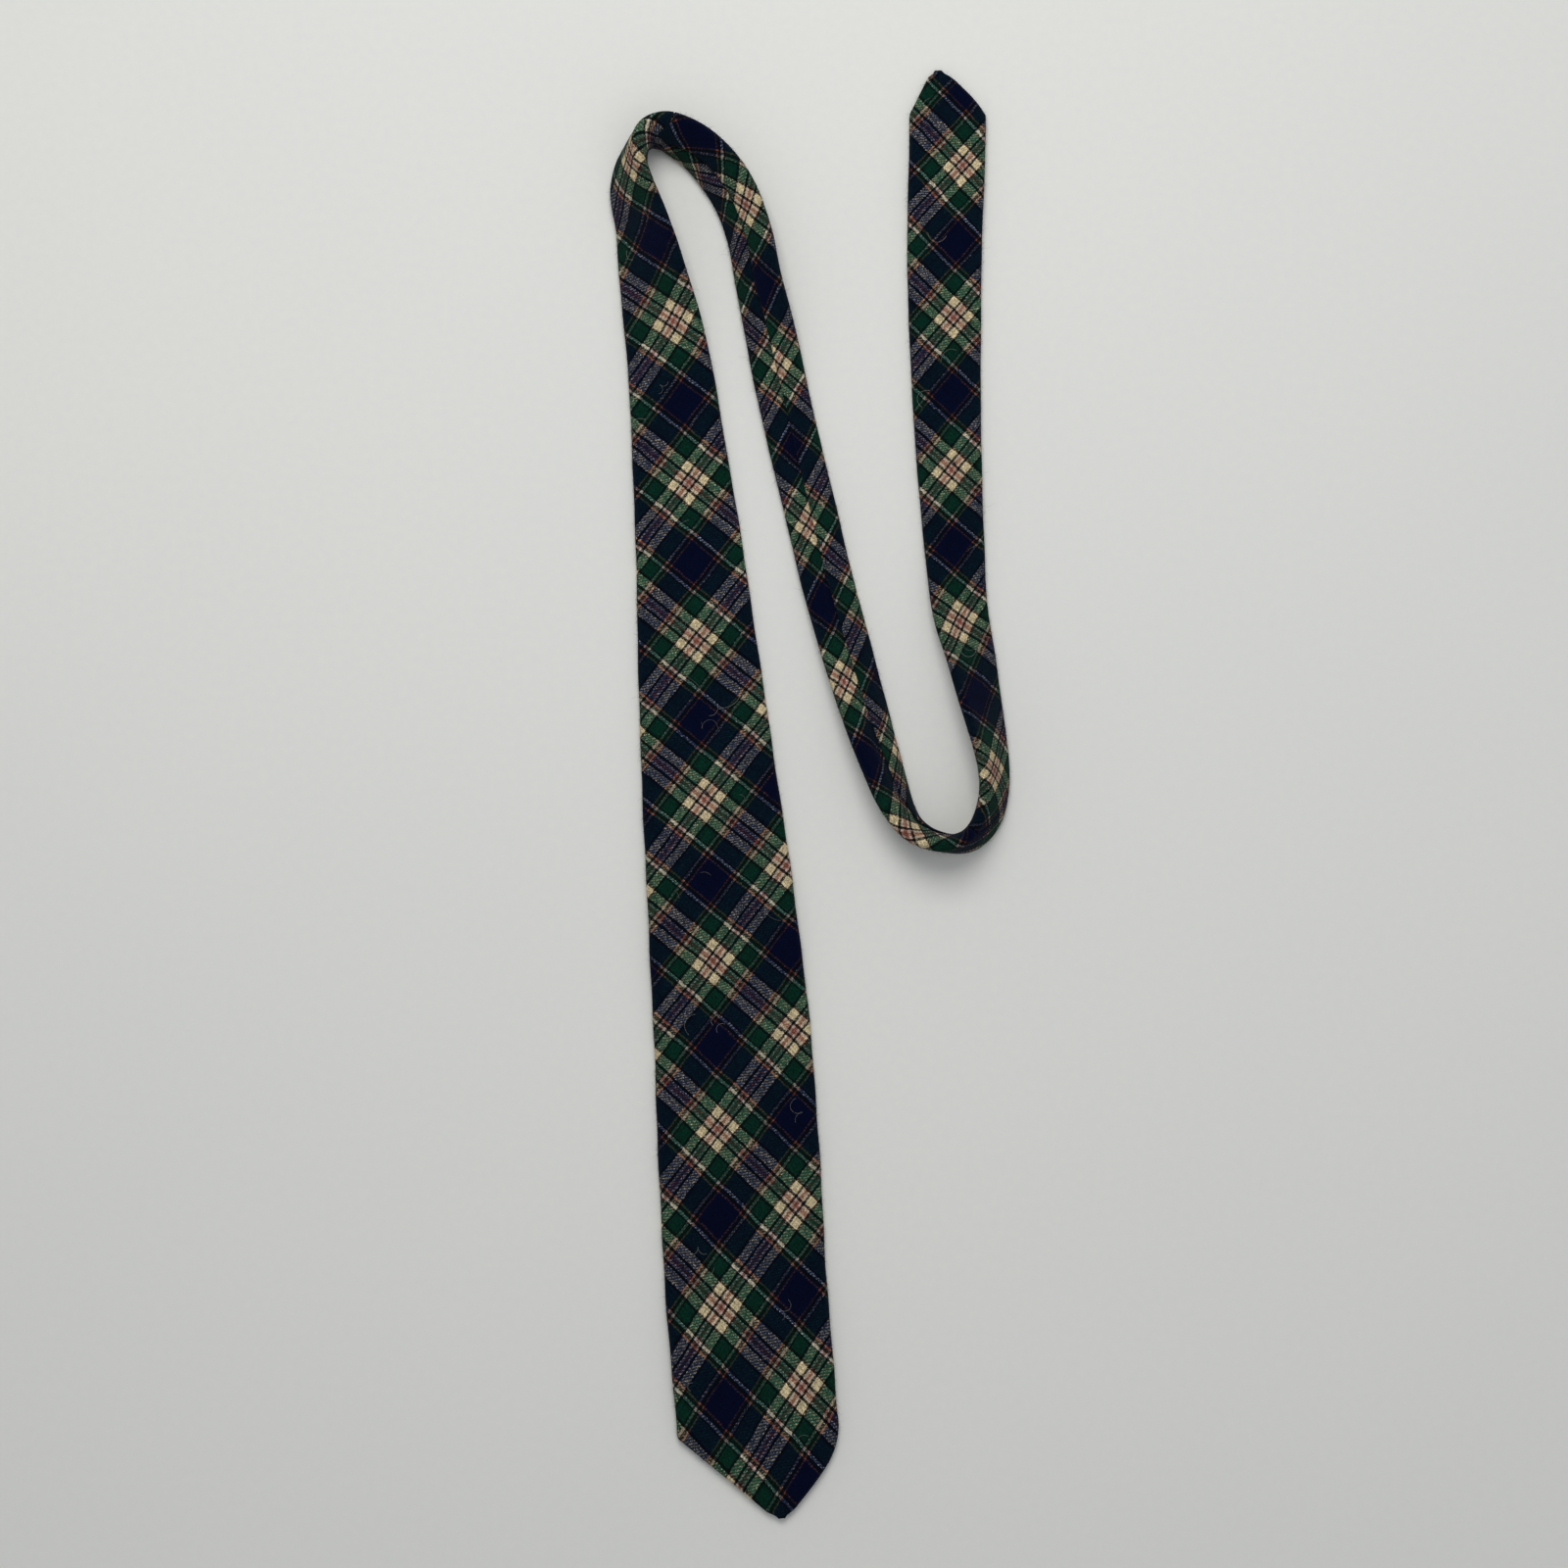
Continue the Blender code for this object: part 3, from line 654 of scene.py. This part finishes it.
def tartan():
    """Twilled tartan wool: two over, two under, each yarn in its stripe's colour, a little uneven and hairy.

    The yarn on top shows along its crown, more at some crossings than at others. Beside it lies the darker
    of the two yarns, misted over by hairs of both. Each yarn is also painted darker away from its crown, as
    painted shade in the grooves between threads.
    """
    n = Nodes("tartan_wool")
    place = n.add("UVMap", uv_map="cloth")
    split = n.add("SeparateXYZ", {0: place}).node.outputs
    drift = n.add("TexNoise", {"Vector": place, "Scale": 3.0, "Detail": 3.0}, 1)
    ragged = n.add("TexNoise", {"Vector": place, "Scale": 46.0, "Detail": 3.0}, 1)
    wander = n.add("SeparateXYZ", {0: drift}).node.outputs
    jitter = n.add("SeparateXYZ", {0: ragged}).node.outputs
    counts, crowns, tones, colours = [], [], [], []
    for side in (0, 1):
        moved = n.math("MULTIPLY_ADD", n.math("SUBTRACT", wander[side], 0.5), WANDER, split[side])
        moved = n.math("MULTIPLY_ADD", n.math("SUBTRACT", jitter[side], 0.5), RAGGED, moved)
        threads = n.math("MULTIPLY", moved, THREADS)
        count = n.math("FLOOR", threads)
        within_thread = n.math("SUBTRACT", threads, count)
        middle = n.math("DIVIDE", n.math("ADD", count, 0.5), THREADS)
        half = n.math("MULTIPLY", n.math("PINGPONG", middle, 0.5), 2.0)
        number = n.math("ADD", count, 0.37 + side)
        counts.append(count)
        tones.append(n.add("TexWhiteNoise", {"W": number}, noise_dimensions="1D"))
        crowns.append(n.math("SINE", n.math("MULTIPLY", within_thread, np.pi)))
        colours.append(n.ramp(half, sett_stops(side == 0), "CONSTANT"))
    step = n.math("FLOORED_MODULO", n.math("ADD", counts[0], counts[1]), 4.0)
    over = n.math("LESS_THAN", step, 1.5)
    tone = n.add("Mix", {0: over, 2: tones[1], 3: tones[0]}, data_type="FLOAT")
    crown = n.add("Mix", {0: over, 2: crowns[1], 3: crowns[0]}, data_type="FLOAT")
    slub = n.noise(place, 45.0, 4.0, 0.7)
    coarse = n.noise(place, 5.0, 3.0)
    crossing = n.add("CombineXYZ", {0: counts[0], 1: counts[1]})
    fleck = n.add("TexWhiteNoise", {"Vector": crossing}, noise_dimensions="2D")
    cover = n.math("MULTIPLY", n.math("POWER", crown, 2.5), n.spread(slub, 0.3, 0.7, 0.0, 2.4))
    cover = n.math("MULTIPLY", cover, n.spread(fleck, 0.0, 1.0, 0.0, 2.0 * TOP_COVER))
    darker = n.mix(1.0, colours[1], colours[0], "DARKEN")
    both = n.add("Gamma", {0: n.mix(1.0, colours[1], colours[0], "MULTIPLY"), 1: 0.5})
    beside = n.mix(BLENDED, darker, both)
    mixed = n.mix(cover, beside, n.mix(over, colours[1], colours[0]))
    lit = n.math("MULTIPLY", n.spread(tone, 0.0, 1.0, 0.68, 1.25), n.spread(slub, 0.3, 0.7, 0.70, 1.30))
    lit = n.math("MULTIPLY", lit, n.spread(coarse, 0.3, 0.7, 0.93, 1.07))
    lit = n.math("MULTIPLY", lit, n.spread(fleck, 0.0, 1.0, 0.60, 1.40))
    # Painted shade: each yarn's colour is darkened away from its crown, standing in for shade in the grooves
    # between threads.
    lit = n.math("MULTIPLY", lit, n.spread(crown, 0.0, 0.6, 0.62, 1.0))
    coloured = n.mix(1.0, mixed, n.add("CombineXYZ", {0: lit, 1: lit, 2: lit}), "MULTIPLY")
    hair = n.noise(place, 420.0, 2.0)
    height = n.math("ADD", crown, n.math("MULTIPLY", hair, 0.5))
    return n.finish(
        Base_Color=coloured,
        Roughness=n.spread(slub, 0.3, 0.7, 0.82, 0.96),
        Specular_IOR_Level=0.04,
        Sheen_Weight=0.03,
        Sheen_Roughness=0.5,
        Sheen_Tint=(0.75, 0.80, 0.90, 1),
        Normal=n.bump(height, 0.00016, 0.8),
    )


def woven(name, dark, light, count, rough, sheen, depth):
    """A plain cloth on the piece's own map in metres: threads at a count to the metre, with uneven tone."""
    n = Nodes(name)
    place = n.add("UVMap", uv_map="cloth")
    split = n.add("SeparateXYZ", {0: place}).node.outputs
    waves = []
    for side in (0, 1):
        waves.append(n.math("SINE", n.math("MULTIPLY", split[side], count * 2 * np.pi)))
    weave = n.math("MULTIPLY_ADD", n.math("MULTIPLY", waves[0], waves[1]), 0.5, 0.5)
    uneven = n.noise(place, 90.0, 4.0)
    fibre = n.noise(place, 1400.0, 2.0)
    share = n.math("ADD", n.math("MULTIPLY", uneven, 0.7), n.math("MULTIPLY", fibre, 0.3))
    tone = n.math("MULTIPLY_ADD", weave, 0.45, n.math("MULTIPLY", share, 0.55))
    colour = n.ramp(tone, ((0.15, dark), (0.75, light)))
    height = n.math("ADD", weave, n.math("MULTIPLY", fibre, 0.4))
    return n.finish(
        Base_Color=colour,
        Roughness=n.spread(uneven, 0.3, 0.7, rough - 0.06, rough + 0.06),
        Specular_IOR_Level=0.3,
        Sheen_Weight=sheen,
        Sheen_Roughness=0.4,
        Normal=n.bump(height, depth, 0.7),
    )


def twisted(name, dark, light):
    """Sewing thread: two plies whose twist shows as slanting light and dark along the thread's own map."""
    n = Nodes(name)
    place = n.add("UVMap", uv_map="cloth")
    split = n.add("SeparateXYZ", {0: place}).node.outputs
    turn = n.math("MULTIPLY_ADD", split[0], 2600.0 * np.pi, n.math("MULTIPLY", split[1], 4 * np.pi))
    ply = n.math("MULTIPLY_ADD", n.math("SINE", turn), 0.5, 0.5)
    fluff = n.noise(place, 900.0, 2.0)
    share = n.math("ADD", n.math("MULTIPLY", ply, 0.65), n.math("MULTIPLY", fluff, 0.35))
    return n.finish(
        Base_Color=n.ramp(share, ((0.1, dark), (0.9, light))),
        Roughness=n.spread(fluff, 0.3, 0.7, 0.5, 0.7),
        Specular_IOR_Level=0.35,
        Sheen_Weight=0.2,
        Normal=n.bump(ply, 0.00008, 0.7),
    )


TARTAN = tartan()
CANVAS_CLOTH = woven("wool_canvas", (0.42, 0.36, 0.26), (0.74, 0.68, 0.55), 900.0, 0.9, 0.1, 0.00025)
SATIN = woven("tipping_satin", (0.006, 0.008, 0.022), (0.020, 0.026, 0.060), 4200.0, 0.38, 0.3, 0.00003)
LINT = twisted("lint", (0.10, 0.10, 0.11), (0.34, 0.33, 0.30))
STRANDS = twisted("thread", (0.004, 0.005, 0.012), (0.030, 0.034, 0.060))


def add_mesh(name, points, faces, place, look):
    """A smooth mesh from points and faces, with each point's place on the cloth as its map."""
    mesh = bpy.data.meshes.new(name)
    mesh.from_pydata(points.tolist(), [], faces)
    corners = np.empty(len(mesh.loops), np.int32)
    mesh.loops.foreach_get("vertex_index", corners)
    chart = mesh.uv_layers.new(name="cloth")
    chart.data.foreach_set("uv", place[corners].astype(np.float32).ravel())
    mesh.shade_smooth()
    mesh.materials.append(look)
    piece = bpy.data.objects.new(name, mesh)
    bpy.context.scene.collection.objects.link(piece)
    return piece


def outward(middle):
    """The unit direction out of a grid of points: down the rows crossed with along the columns."""
    normal = np.cross(np.gradient(middle, axis=0), np.gradient(middle, axis=1))
    return normal / np.maximum(np.linalg.norm(normal, axis=2, keepdims=True), 1e-12)


def cloth(name, middle, place, thickness, look):
    """A sheet of cloth: a grid of points given half its thickness to each side and closed round its edges."""
    rows, columns = middle.shape[:2]
    count = rows * columns
    half = outward(middle) * thickness / 2
    points = np.concatenate([(middle + half).reshape(-1, 3), (middle - half).reshape(-1, 3)])
    at = np.arange(count).reshape(rows, columns)
    over = np.stack([at[:-1, :-1], at[1:, :-1], at[1:, 1:], at[:-1, 1:]], -1).reshape(-1, 4)
    rim = np.concatenate([at[:-1, 0], at[-1, :-1], at[:0:-1, -1], at[0, :0:-1]])
    onward = np.roll(rim, -1)
    edge = np.stack([onward, rim, rim + count, onward + count], -1)
    faces = np.concatenate([over, over[:, ::-1] + count, edge])
    flat = place.reshape(-1, 2)
    return add_mesh(name, points, faces.tolist(), np.concatenate([flat, flat]), look)


def tubes(name, paths, radius, place, sides, look):
    """Round strands along several lines of points, with closed ends.

    Each ring stands across its line, and its first side is level with the table.
    """
    lines, steps = paths.shape[:2]
    ahead = np.gradient(paths, axis=1)
    ahead /= np.maximum(np.linalg.norm(ahead, axis=2, keepdims=True), 1e-12)
    level = np.cross(ahead, [0.03, 0.05, 1.0])
    level /= np.linalg.norm(level, axis=2, keepdims=True)
    upward = np.cross(level, ahead)
    turn = np.arange(sides) * 2 * np.pi / sides
    ring = level[:, :, None] * np.cos(turn)[:, None] + upward[:, :, None] * np.sin(turn)[:, None]
    points = paths[:, :, None] + ring * np.broadcast_to(radius, (lines, steps))[:, :, None, None]
    at = np.arange(lines * steps * sides).reshape(lines, steps, sides)
    onward = np.roll(at, -1, axis=2)
    wall = np.stack([at[:, :-1], onward[:, :-1], onward[:, 1:], at[:, 1:]], -1).reshape(-1, 4)
    caps = at[:, 0, ::-1].tolist() + at[:, -1].tolist()
    chart = np.repeat(place.reshape(-1, 2), sides, axis=0)
    return add_mesh(name, points.reshape(-1, 3), wall.tolist() + caps, chart, look)


def sewing(name, line, diameter):
    """A sewing thread along a line: two plies wound round each other, mapped by the distance along it."""
    step = np.linalg.norm(np.diff(line, axis=0), axis=1)
    run = np.concatenate([[0.0], np.cumsum(step)])
    at = np.linspace(0, run[-1], int(run[-1] / PLY_STEP) + 2)
    middle = np.stack([np.interp(at, run, line[:, axis]) for axis in range(3)], -1)
    ahead = np.gradient(middle, axis=0)
    ahead /= np.linalg.norm(ahead, axis=1, keepdims=True)
    level = np.cross(ahead, [0.03, 0.05, 1.0])
    level /= np.linalg.norm(level, axis=1, keepdims=True)
    upward = np.cross(level, ahead)
    paths = []
    for ply in (0, np.pi):
        turn = at / PLY_PITCH * 2 * np.pi + ply
        round_it = level * np.cos(turn)[:, None] + upward * np.sin(turn)[:, None]
        paths.append(middle + round_it * diameter * PLY_OFFSET)
    place = np.stack([at, at * 0], -1)
    return tubes(name, np.array(paths), diameter * PLY_RADIUS, np.array([place, place]), 6, STRANDS)


def ease_zigzag(start, end, turns):
    """A line that passes to and fro between two lines in space as a smooth wave."""
    share = np.linspace(0, 1, turns * 8 + 1)[:, None]
    side = 0.5 - 0.5 * np.cos(share * turns * np.pi)
    first = start[0] * (1 - share) + start[1] * share
    second = end[0] * (1 - share) + end[1] * share
    return first * (1 - side) + second * side


def sett_map(sett, along, spread):
    """The tartan's map for a piece of cloth."""
    return np.stack(sett(along, spread), -1)


def fibres(name, middle, place, count, edge_share):
    """Loose wool hairs on the cloth's outer side: short curved strands that lie close and curl up a little.

    The edge share of them stands on the two folds, where they show against the table.
    """
    rows, columns = middle.shape[:2]
    normal = outward(middle)
    row = RANDOM.random(count) * (rows - 3) + 1
    fold = FLAP_COLUMNS + RANDOM.random(count) * FOLD_COLUMNS
    fold = np.where(RANDOM.random(count) < 0.5, fold, columns - 1 - fold)
    any_column = FLAP_COLUMNS + RANDOM.random(count) * (columns - 1 - 2 * FLAP_COLUMNS)
    column = np.where(RANDOM.random(count) < edge_share, fold, any_column)
    i, j = row.astype(int), column.astype(int)
    u, v = (row - i)[:, None], (column - j)[:, None]

    def read(grid):
        near = grid[i, j] * (1 - v) + grid[i, j + 1] * v
        far = grid[i + 1, j] * (1 - v) + grid[i + 1, j + 1] * v
        return near * (1 - u) + far * u

    root, out, chart = read(middle), read(normal), read(place)
    out /= np.linalg.norm(out, axis=1, keepdims=True)
    lean = RANDOM.normal(size=(count, 3))
    lean -= out * (lean * out).sum(axis=1, keepdims=True)
    lean /= np.linalg.norm(lean, axis=1, keepdims=True)
    bend = np.cross(out, lean)
    length = HAIR_LENGTH * (0.35 + RANDOM.gamma(2.0, 0.33, count))[:, None, None]
    rise = HAIR_RISE * RANDOM.random(count)[:, None, None]
    curl = (RANDOM.random(count)[:, None, None] - 0.5) * HAIR_CURL
    share = np.linspace(0, 1, HAIR_STEPS)[None, :, None]
    paths = root[:, None] + out[:, None] * (CLOTH * 0.46 + length * rise * share)
    paths = paths + lean[:, None] * length * (share - 0.3 * share**3)
    paths = paths + bend[:, None] * length * curl * share**2
    paths[..., 2] = np.maximum(paths[..., 2], HAIR_RADIUS)
    radius = HAIR_RADIUS * (1 - 0.6 * share[..., 0])
    chart = np.repeat(chart[:, None], HAIR_STEPS, axis=1)
    return tubes(name, paths, radius, chart, 3, TARTAN)


def stray_hairs(name, middle, count):
    """A few long curly hairs that lie loose on the face: each a slack line with two or three turns in it."""
    normal = outward(middle)
    i = RANDOM.integers(2, len(middle) - 2, count)
    j = FLAP_COLUMNS + FOLD_COLUMNS + RANDOM.integers(2, FACE_COLUMNS - 2, count)
    root, out = middle[i, j], normal[i, j]
    lean = np.cross(out, RANDOM.normal(size=(count, 3)))
    lean /= np.linalg.norm(lean, axis=1, keepdims=True)
    aside = np.cross(out, lean)
    share = np.linspace(0, 1, STRAY_STEPS)[None, :, None]
    length, turns, phase = (RANDOM.random(count)[:, None, None] for _ in range(3))
    length = STRAY_SHORTEST + STRAY_SPREAD * length
    turn = (2 + 7 * turns) * share + 6 * phase
    forward = length * (share + 0.16 * np.cos(turn))
    sideways = length * 0.24 * np.sin(turn)
    lift = CLOTH * 0.5 + STRAY_LIFT + 0.6 * STRAY_LIFT * np.sin(9 * share + 6 * phase)
    paths = root[:, None] + out[:, None] * lift + lean[:, None] * forward + aside[:, None] * sideways
    place = np.stack([length[:, 0] * 90, turns[:, 0] * 9], -1)
    return tubes(name, paths, STRAY_RADIUS, np.repeat(place, STRAY_STEPS, axis=1), 4, LINT)


CUT = NECK_WIDTH + 2 * OVERLAP
RIDES = {
    "front": lambda piece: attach(piece, "front_blade"),
    "upper": lambda piece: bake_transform(piece),
    "lower": lambda piece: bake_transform(piece),
    "tail": lambda piece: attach(piece, "tail_blade"),
}
SHELLS = {"front": "front_shell", "upper": "neck_shell", "lower": "neck_shell", "tail": "tail_shell"}
CANVASES = {
    "front": "front_interlining", "upper": "neck_interlining",
    "lower": "neck_interlining", "tail": "tail_interlining",
}
PARTS = (
    ("front", 0.0, TOP_SEAM - SEAM_GAP / 2, blade_sett),
    ("upper", TOP_SEAM + SEAM_GAP / 2, NECK_MIDDLE, neck_sett),
    ("lower", NECK_MIDDLE, BOTTOM_SEAM - SEAM_GAP / 2, neck_sett),
    ("tail", BOTTOM_SEAM + SEAM_GAP / 2, LENGTH, tail_sett),
)


def show(piece, part, node):
    """Gives a piece its body and hides the CAD solid that it stands for."""
    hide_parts(node)
    RIDES[part](piece)


def add_shell(part, start, end, sett):
    """One length of the outer cloth with its hairs."""
    middle, along, spread = envelope(rows_between(start, end))
    place = sett_map(sett, along, spread)
    piece = cloth("cloth_" + part, middle, place, CLOTH, TARTAN)
    show(piece, part, SHELLS[part])
    hairs = fibres("hairs_" + part, middle, place, HAIRS[part], FOLD_SHARE)
    RIDES[part](hairs)
    if part in STRAYS:
        strays = stray_hairs("stray_hairs_" + part, middle, STRAYS[part])
        RIDES[part](strays)


def add_layer(name, part, start, end, level, thickness, look, node):
    """A flat layer inside the envelope, from fold to fold."""
    distance = rows_between(start, end)
    half = half_width(distance)[:, None] - 2 * CLEAR - EDGE_RADIUS
    across = half * np.linspace(1, -1, LAYER_COLUMNS)
    middle = inside(distance, across, level)
    along = np.broadcast_to(distance[:, None], across.shape)
    piece = cloth(name, middle, np.stack([across, along], -1), thickness, look)
    show(piece, part, node)


def add_canvas(part, start, end):
    """The wool canvas inside one length, short of each point and each piecing seam."""
    start = max(start + (SEAM_CLEAR if part != "lower" else 0), LAYER_START)
    end = min(end - (SEAM_CLEAR if part != "upper" else 0), LENGTH - LAYER_END)
    add_layer(
        "canvas_" + part, part, start, end, CANVAS_LEVEL, CANVAS, CANVAS_CLOTH,
        CANVASES[part],
    )


def add_lining(part, start, end):
    """The satin lining of a pointed end."""
    add_layer(
        "lining_" + part, part, start, end, LINING_LEVEL, LINING, SATIN,
        part + "_tipping",
    )


def slip_stitch(name, part, start, end, node):
    """The long hidden stitch beside the right flap's free edge, winding a little along the back."""
    distance = np.linspace(start, end, int((end - start) / SLIP_STEP))
    wave = SLIP_WAVE * np.sin(distance * 2 * np.pi / SLIP_PITCH)
    level = -FOLD_RADIUS + FLAP_STEP - CLOTH / 2 - CLEAR - THREAD / 2
    line = within(distance, wave - CLOTH, level + 0 * distance, -1.0)
    show(sewing(name, line, THREAD), part, node)


def bar_tack(name, part, at, node):
    """The close zigzag that closes the back where the two flaps part."""
    level = -EDGE_RADIUS - CLEAR - TACK_THREAD / 2
    half, wide = TACK_LENGTH / 2, TACK_THREAD * 1.5
    near = lay(np.array([at - wide] * 2), np.array([-half, half]), level)
    far = lay(np.array([at + wide] * 2), np.array([-half, half]), level)
    show(sewing(name, ease_zigzag(near, far, ZIGZAGS), TACK_THREAD), part, node)


def keeper_loop():
    """The self-cloth loop across the back that holds the narrow blade, flat when it is empty."""
    level = -EDGE_RADIUS - CLEAR - KEEPER_CLOTH / 2
    distance = KEEPER_AT + KEEPER_WIDTH * np.linspace(-0.5, 0.5, 9)[:, None]
    across = KEEPER_SPAN * np.linspace(-0.5, 0.5, 41)[None]
    middle = lay(distance, across, level)
    along, spread = np.broadcast_arrays(distance, across)
    piece = cloth("keeper_cloth", middle, sett_map(blade_sett, along, spread), KEEPER_CLOTH, TARTAN)
    show(piece, "front", "keeper_loop")


def keeper_stitch(name, side, node):
    """The whipping thread along one end of the keeper loop."""
    level = -EDGE_RADIUS - CLEAR - THREAD
    inner = side * (KEEPER_SPAN / 2 + CLEAR + THREAD / 2)
    ends = KEEPER_AT + KEEPER_WIDTH * np.array([-WHIP_SHARE, WHIP_SHARE])
    near = lay(ends, inner, level)
    far = lay(ends, inner + side * THREAD, level)
    show(sewing(name, ease_zigzag(near, far, ZIGZAGS), THREAD), "front", node)


def piecing_stitch(name, part, seam, node):
    """The thread of a piecing seam, on the slant across the inside of the face."""
    across = (half_width(seam) - EDGE_RADIUS) * np.linspace(1, -1, 40)
    level = EDGE_RADIUS - CLOTH - CLEAR - THREAD / 2
    line = within(seam + across, across, level + 0 * across, 1.0)
    show(sewing(name, line, THREAD), part, node)


for part, start, end, sett in PARTS:
    add_shell(part, start, end, sett)
    add_canvas(part, start, end)
add_lining("front", LAYER_START, BLADE_OPENING + LINING_TUCK)
add_lining("tail", LENGTH - TAIL_OPENING - LINING_TUCK, LENGTH - LAYER_END)
slip_stitch("slip_stitch_front", "front", BLADE_OPENING + OVERLAP, TOP_SEAM - CUT, "front_slip_stitch")
slip_stitch("slip_stitch_upper", "upper", TOP_SEAM + CUT, NECK_MIDDLE, "neck_slip_stitch")
slip_stitch("slip_stitch_lower", "lower", NECK_MIDDLE, BOTTOM_SEAM - CUT, "neck_slip_stitch")
slip_stitch(
    "slip_stitch_tail", "tail", BOTTOM_SEAM + CUT, LENGTH - TAIL_OPENING - OVERLAP, "tail_slip_stitch"
)
bar_tack("bar_tack_front", "front", BLADE_OPENING, "front_bar_tack")
bar_tack("bar_tack_tail", "tail", LENGTH - TAIL_OPENING, "tail_bar_tack")
keeper_loop()
keeper_stitch("keeper_thread_right", 1, "keeper_stitch_right")
keeper_stitch("keeper_thread_left", -1, "keeper_stitch_left")
piecing_stitch("piecing_thread_front", "upper", TOP_SEAM, "front_piecing_stitch")
piecing_stitch("piecing_thread_tail", "lower", BOTTOM_SEAM, "tail_piecing_stitch")


def pale_card():
    """The pale matt table, faintly mottled."""
    n = Nodes("pale_card")
    place = n.add("TexCoord", output=3)
    broad = n.noise(place, 2.2, 2.0)
    grain = n.noise(place, 260.0, 3.0)
    share = n.math("ADD", n.math("MULTIPLY", broad, 0.6), n.math("MULTIPLY", grain, 0.4))
    colour = n.ramp(share, ((0.25, (0.735, 0.745, 0.725)), (0.75, (0.785, 0.785, 0.755))))
    return n.finish(Base_Color=colour, Roughness=0.9, Specular_IOR_Level=0.2)


def add_table():
    """A broad flat table just under the tie's lowest point."""
    meshes = [piece for piece in bpy.context.scene.objects if piece.type == "MESH"]
    lowest = min(piece.bound_box[0][2] for piece in meshes)
    half = 3.0
    corners = [(-half, -half, lowest), (half, -half, lowest), (half, half, lowest), (-half, half, lowest)]
    mesh = bpy.data.meshes.new("table")
    mesh.from_pydata(corners, [], [(0, 1, 2, 3)])
    mesh.materials.append(pale_card())
    table = bpy.data.objects.new("table", mesh)
    bpy.context.scene.collection.objects.link(table)


def add_light(name, place, size, power, colour):
    """A square soft light that faces the middle of the tie."""
    data = bpy.data.lights.new(name, "AREA")
    data.size = size
    data.energy = power
    data.color = colour
    light = bpy.data.objects.new(name, data)
    light.location = place
    light.rotation_euler = Vector(place).to_track_quat("Z", "Y").to_euler()
    bpy.context.scene.collection.objects.link(light)


def add_camera():
    """A camera high above the tie, looking straight down with a narrow view."""
    data = bpy.data.cameras.new("camera")
    data.sensor_width = 36
    data.lens = 36 * CAMERA_HEIGHT / VIEW_WIDTH
    camera = bpy.data.objects.new("camera", data)
    camera.location = (*VIEW_MIDDLE, CAMERA_HEIGHT)
    bpy.context.scene.collection.objects.link(camera)
    bpy.context.scene.camera = camera


add_table()
add_light("window", (-0.10, 0.80, 1.20), 0.8, 11.0, (1.0, 0.985, 0.96))
add_light("fill", (0.6, -0.2, 1.8), 1.4, 2.6, (0.95, 0.97, 1.0))
world = bpy.data.worlds.new("studio")
world.use_nodes = True
world.node_tree.nodes["Background"].inputs["Color"].default_value = (0.96, 0.98, 1.0, 1)
world.node_tree.nodes["Background"].inputs["Strength"].default_value = 0.39
bpy.context.scene.world = world
bpy.context.scene.view_settings.view_transform = "Standard"
add_camera()
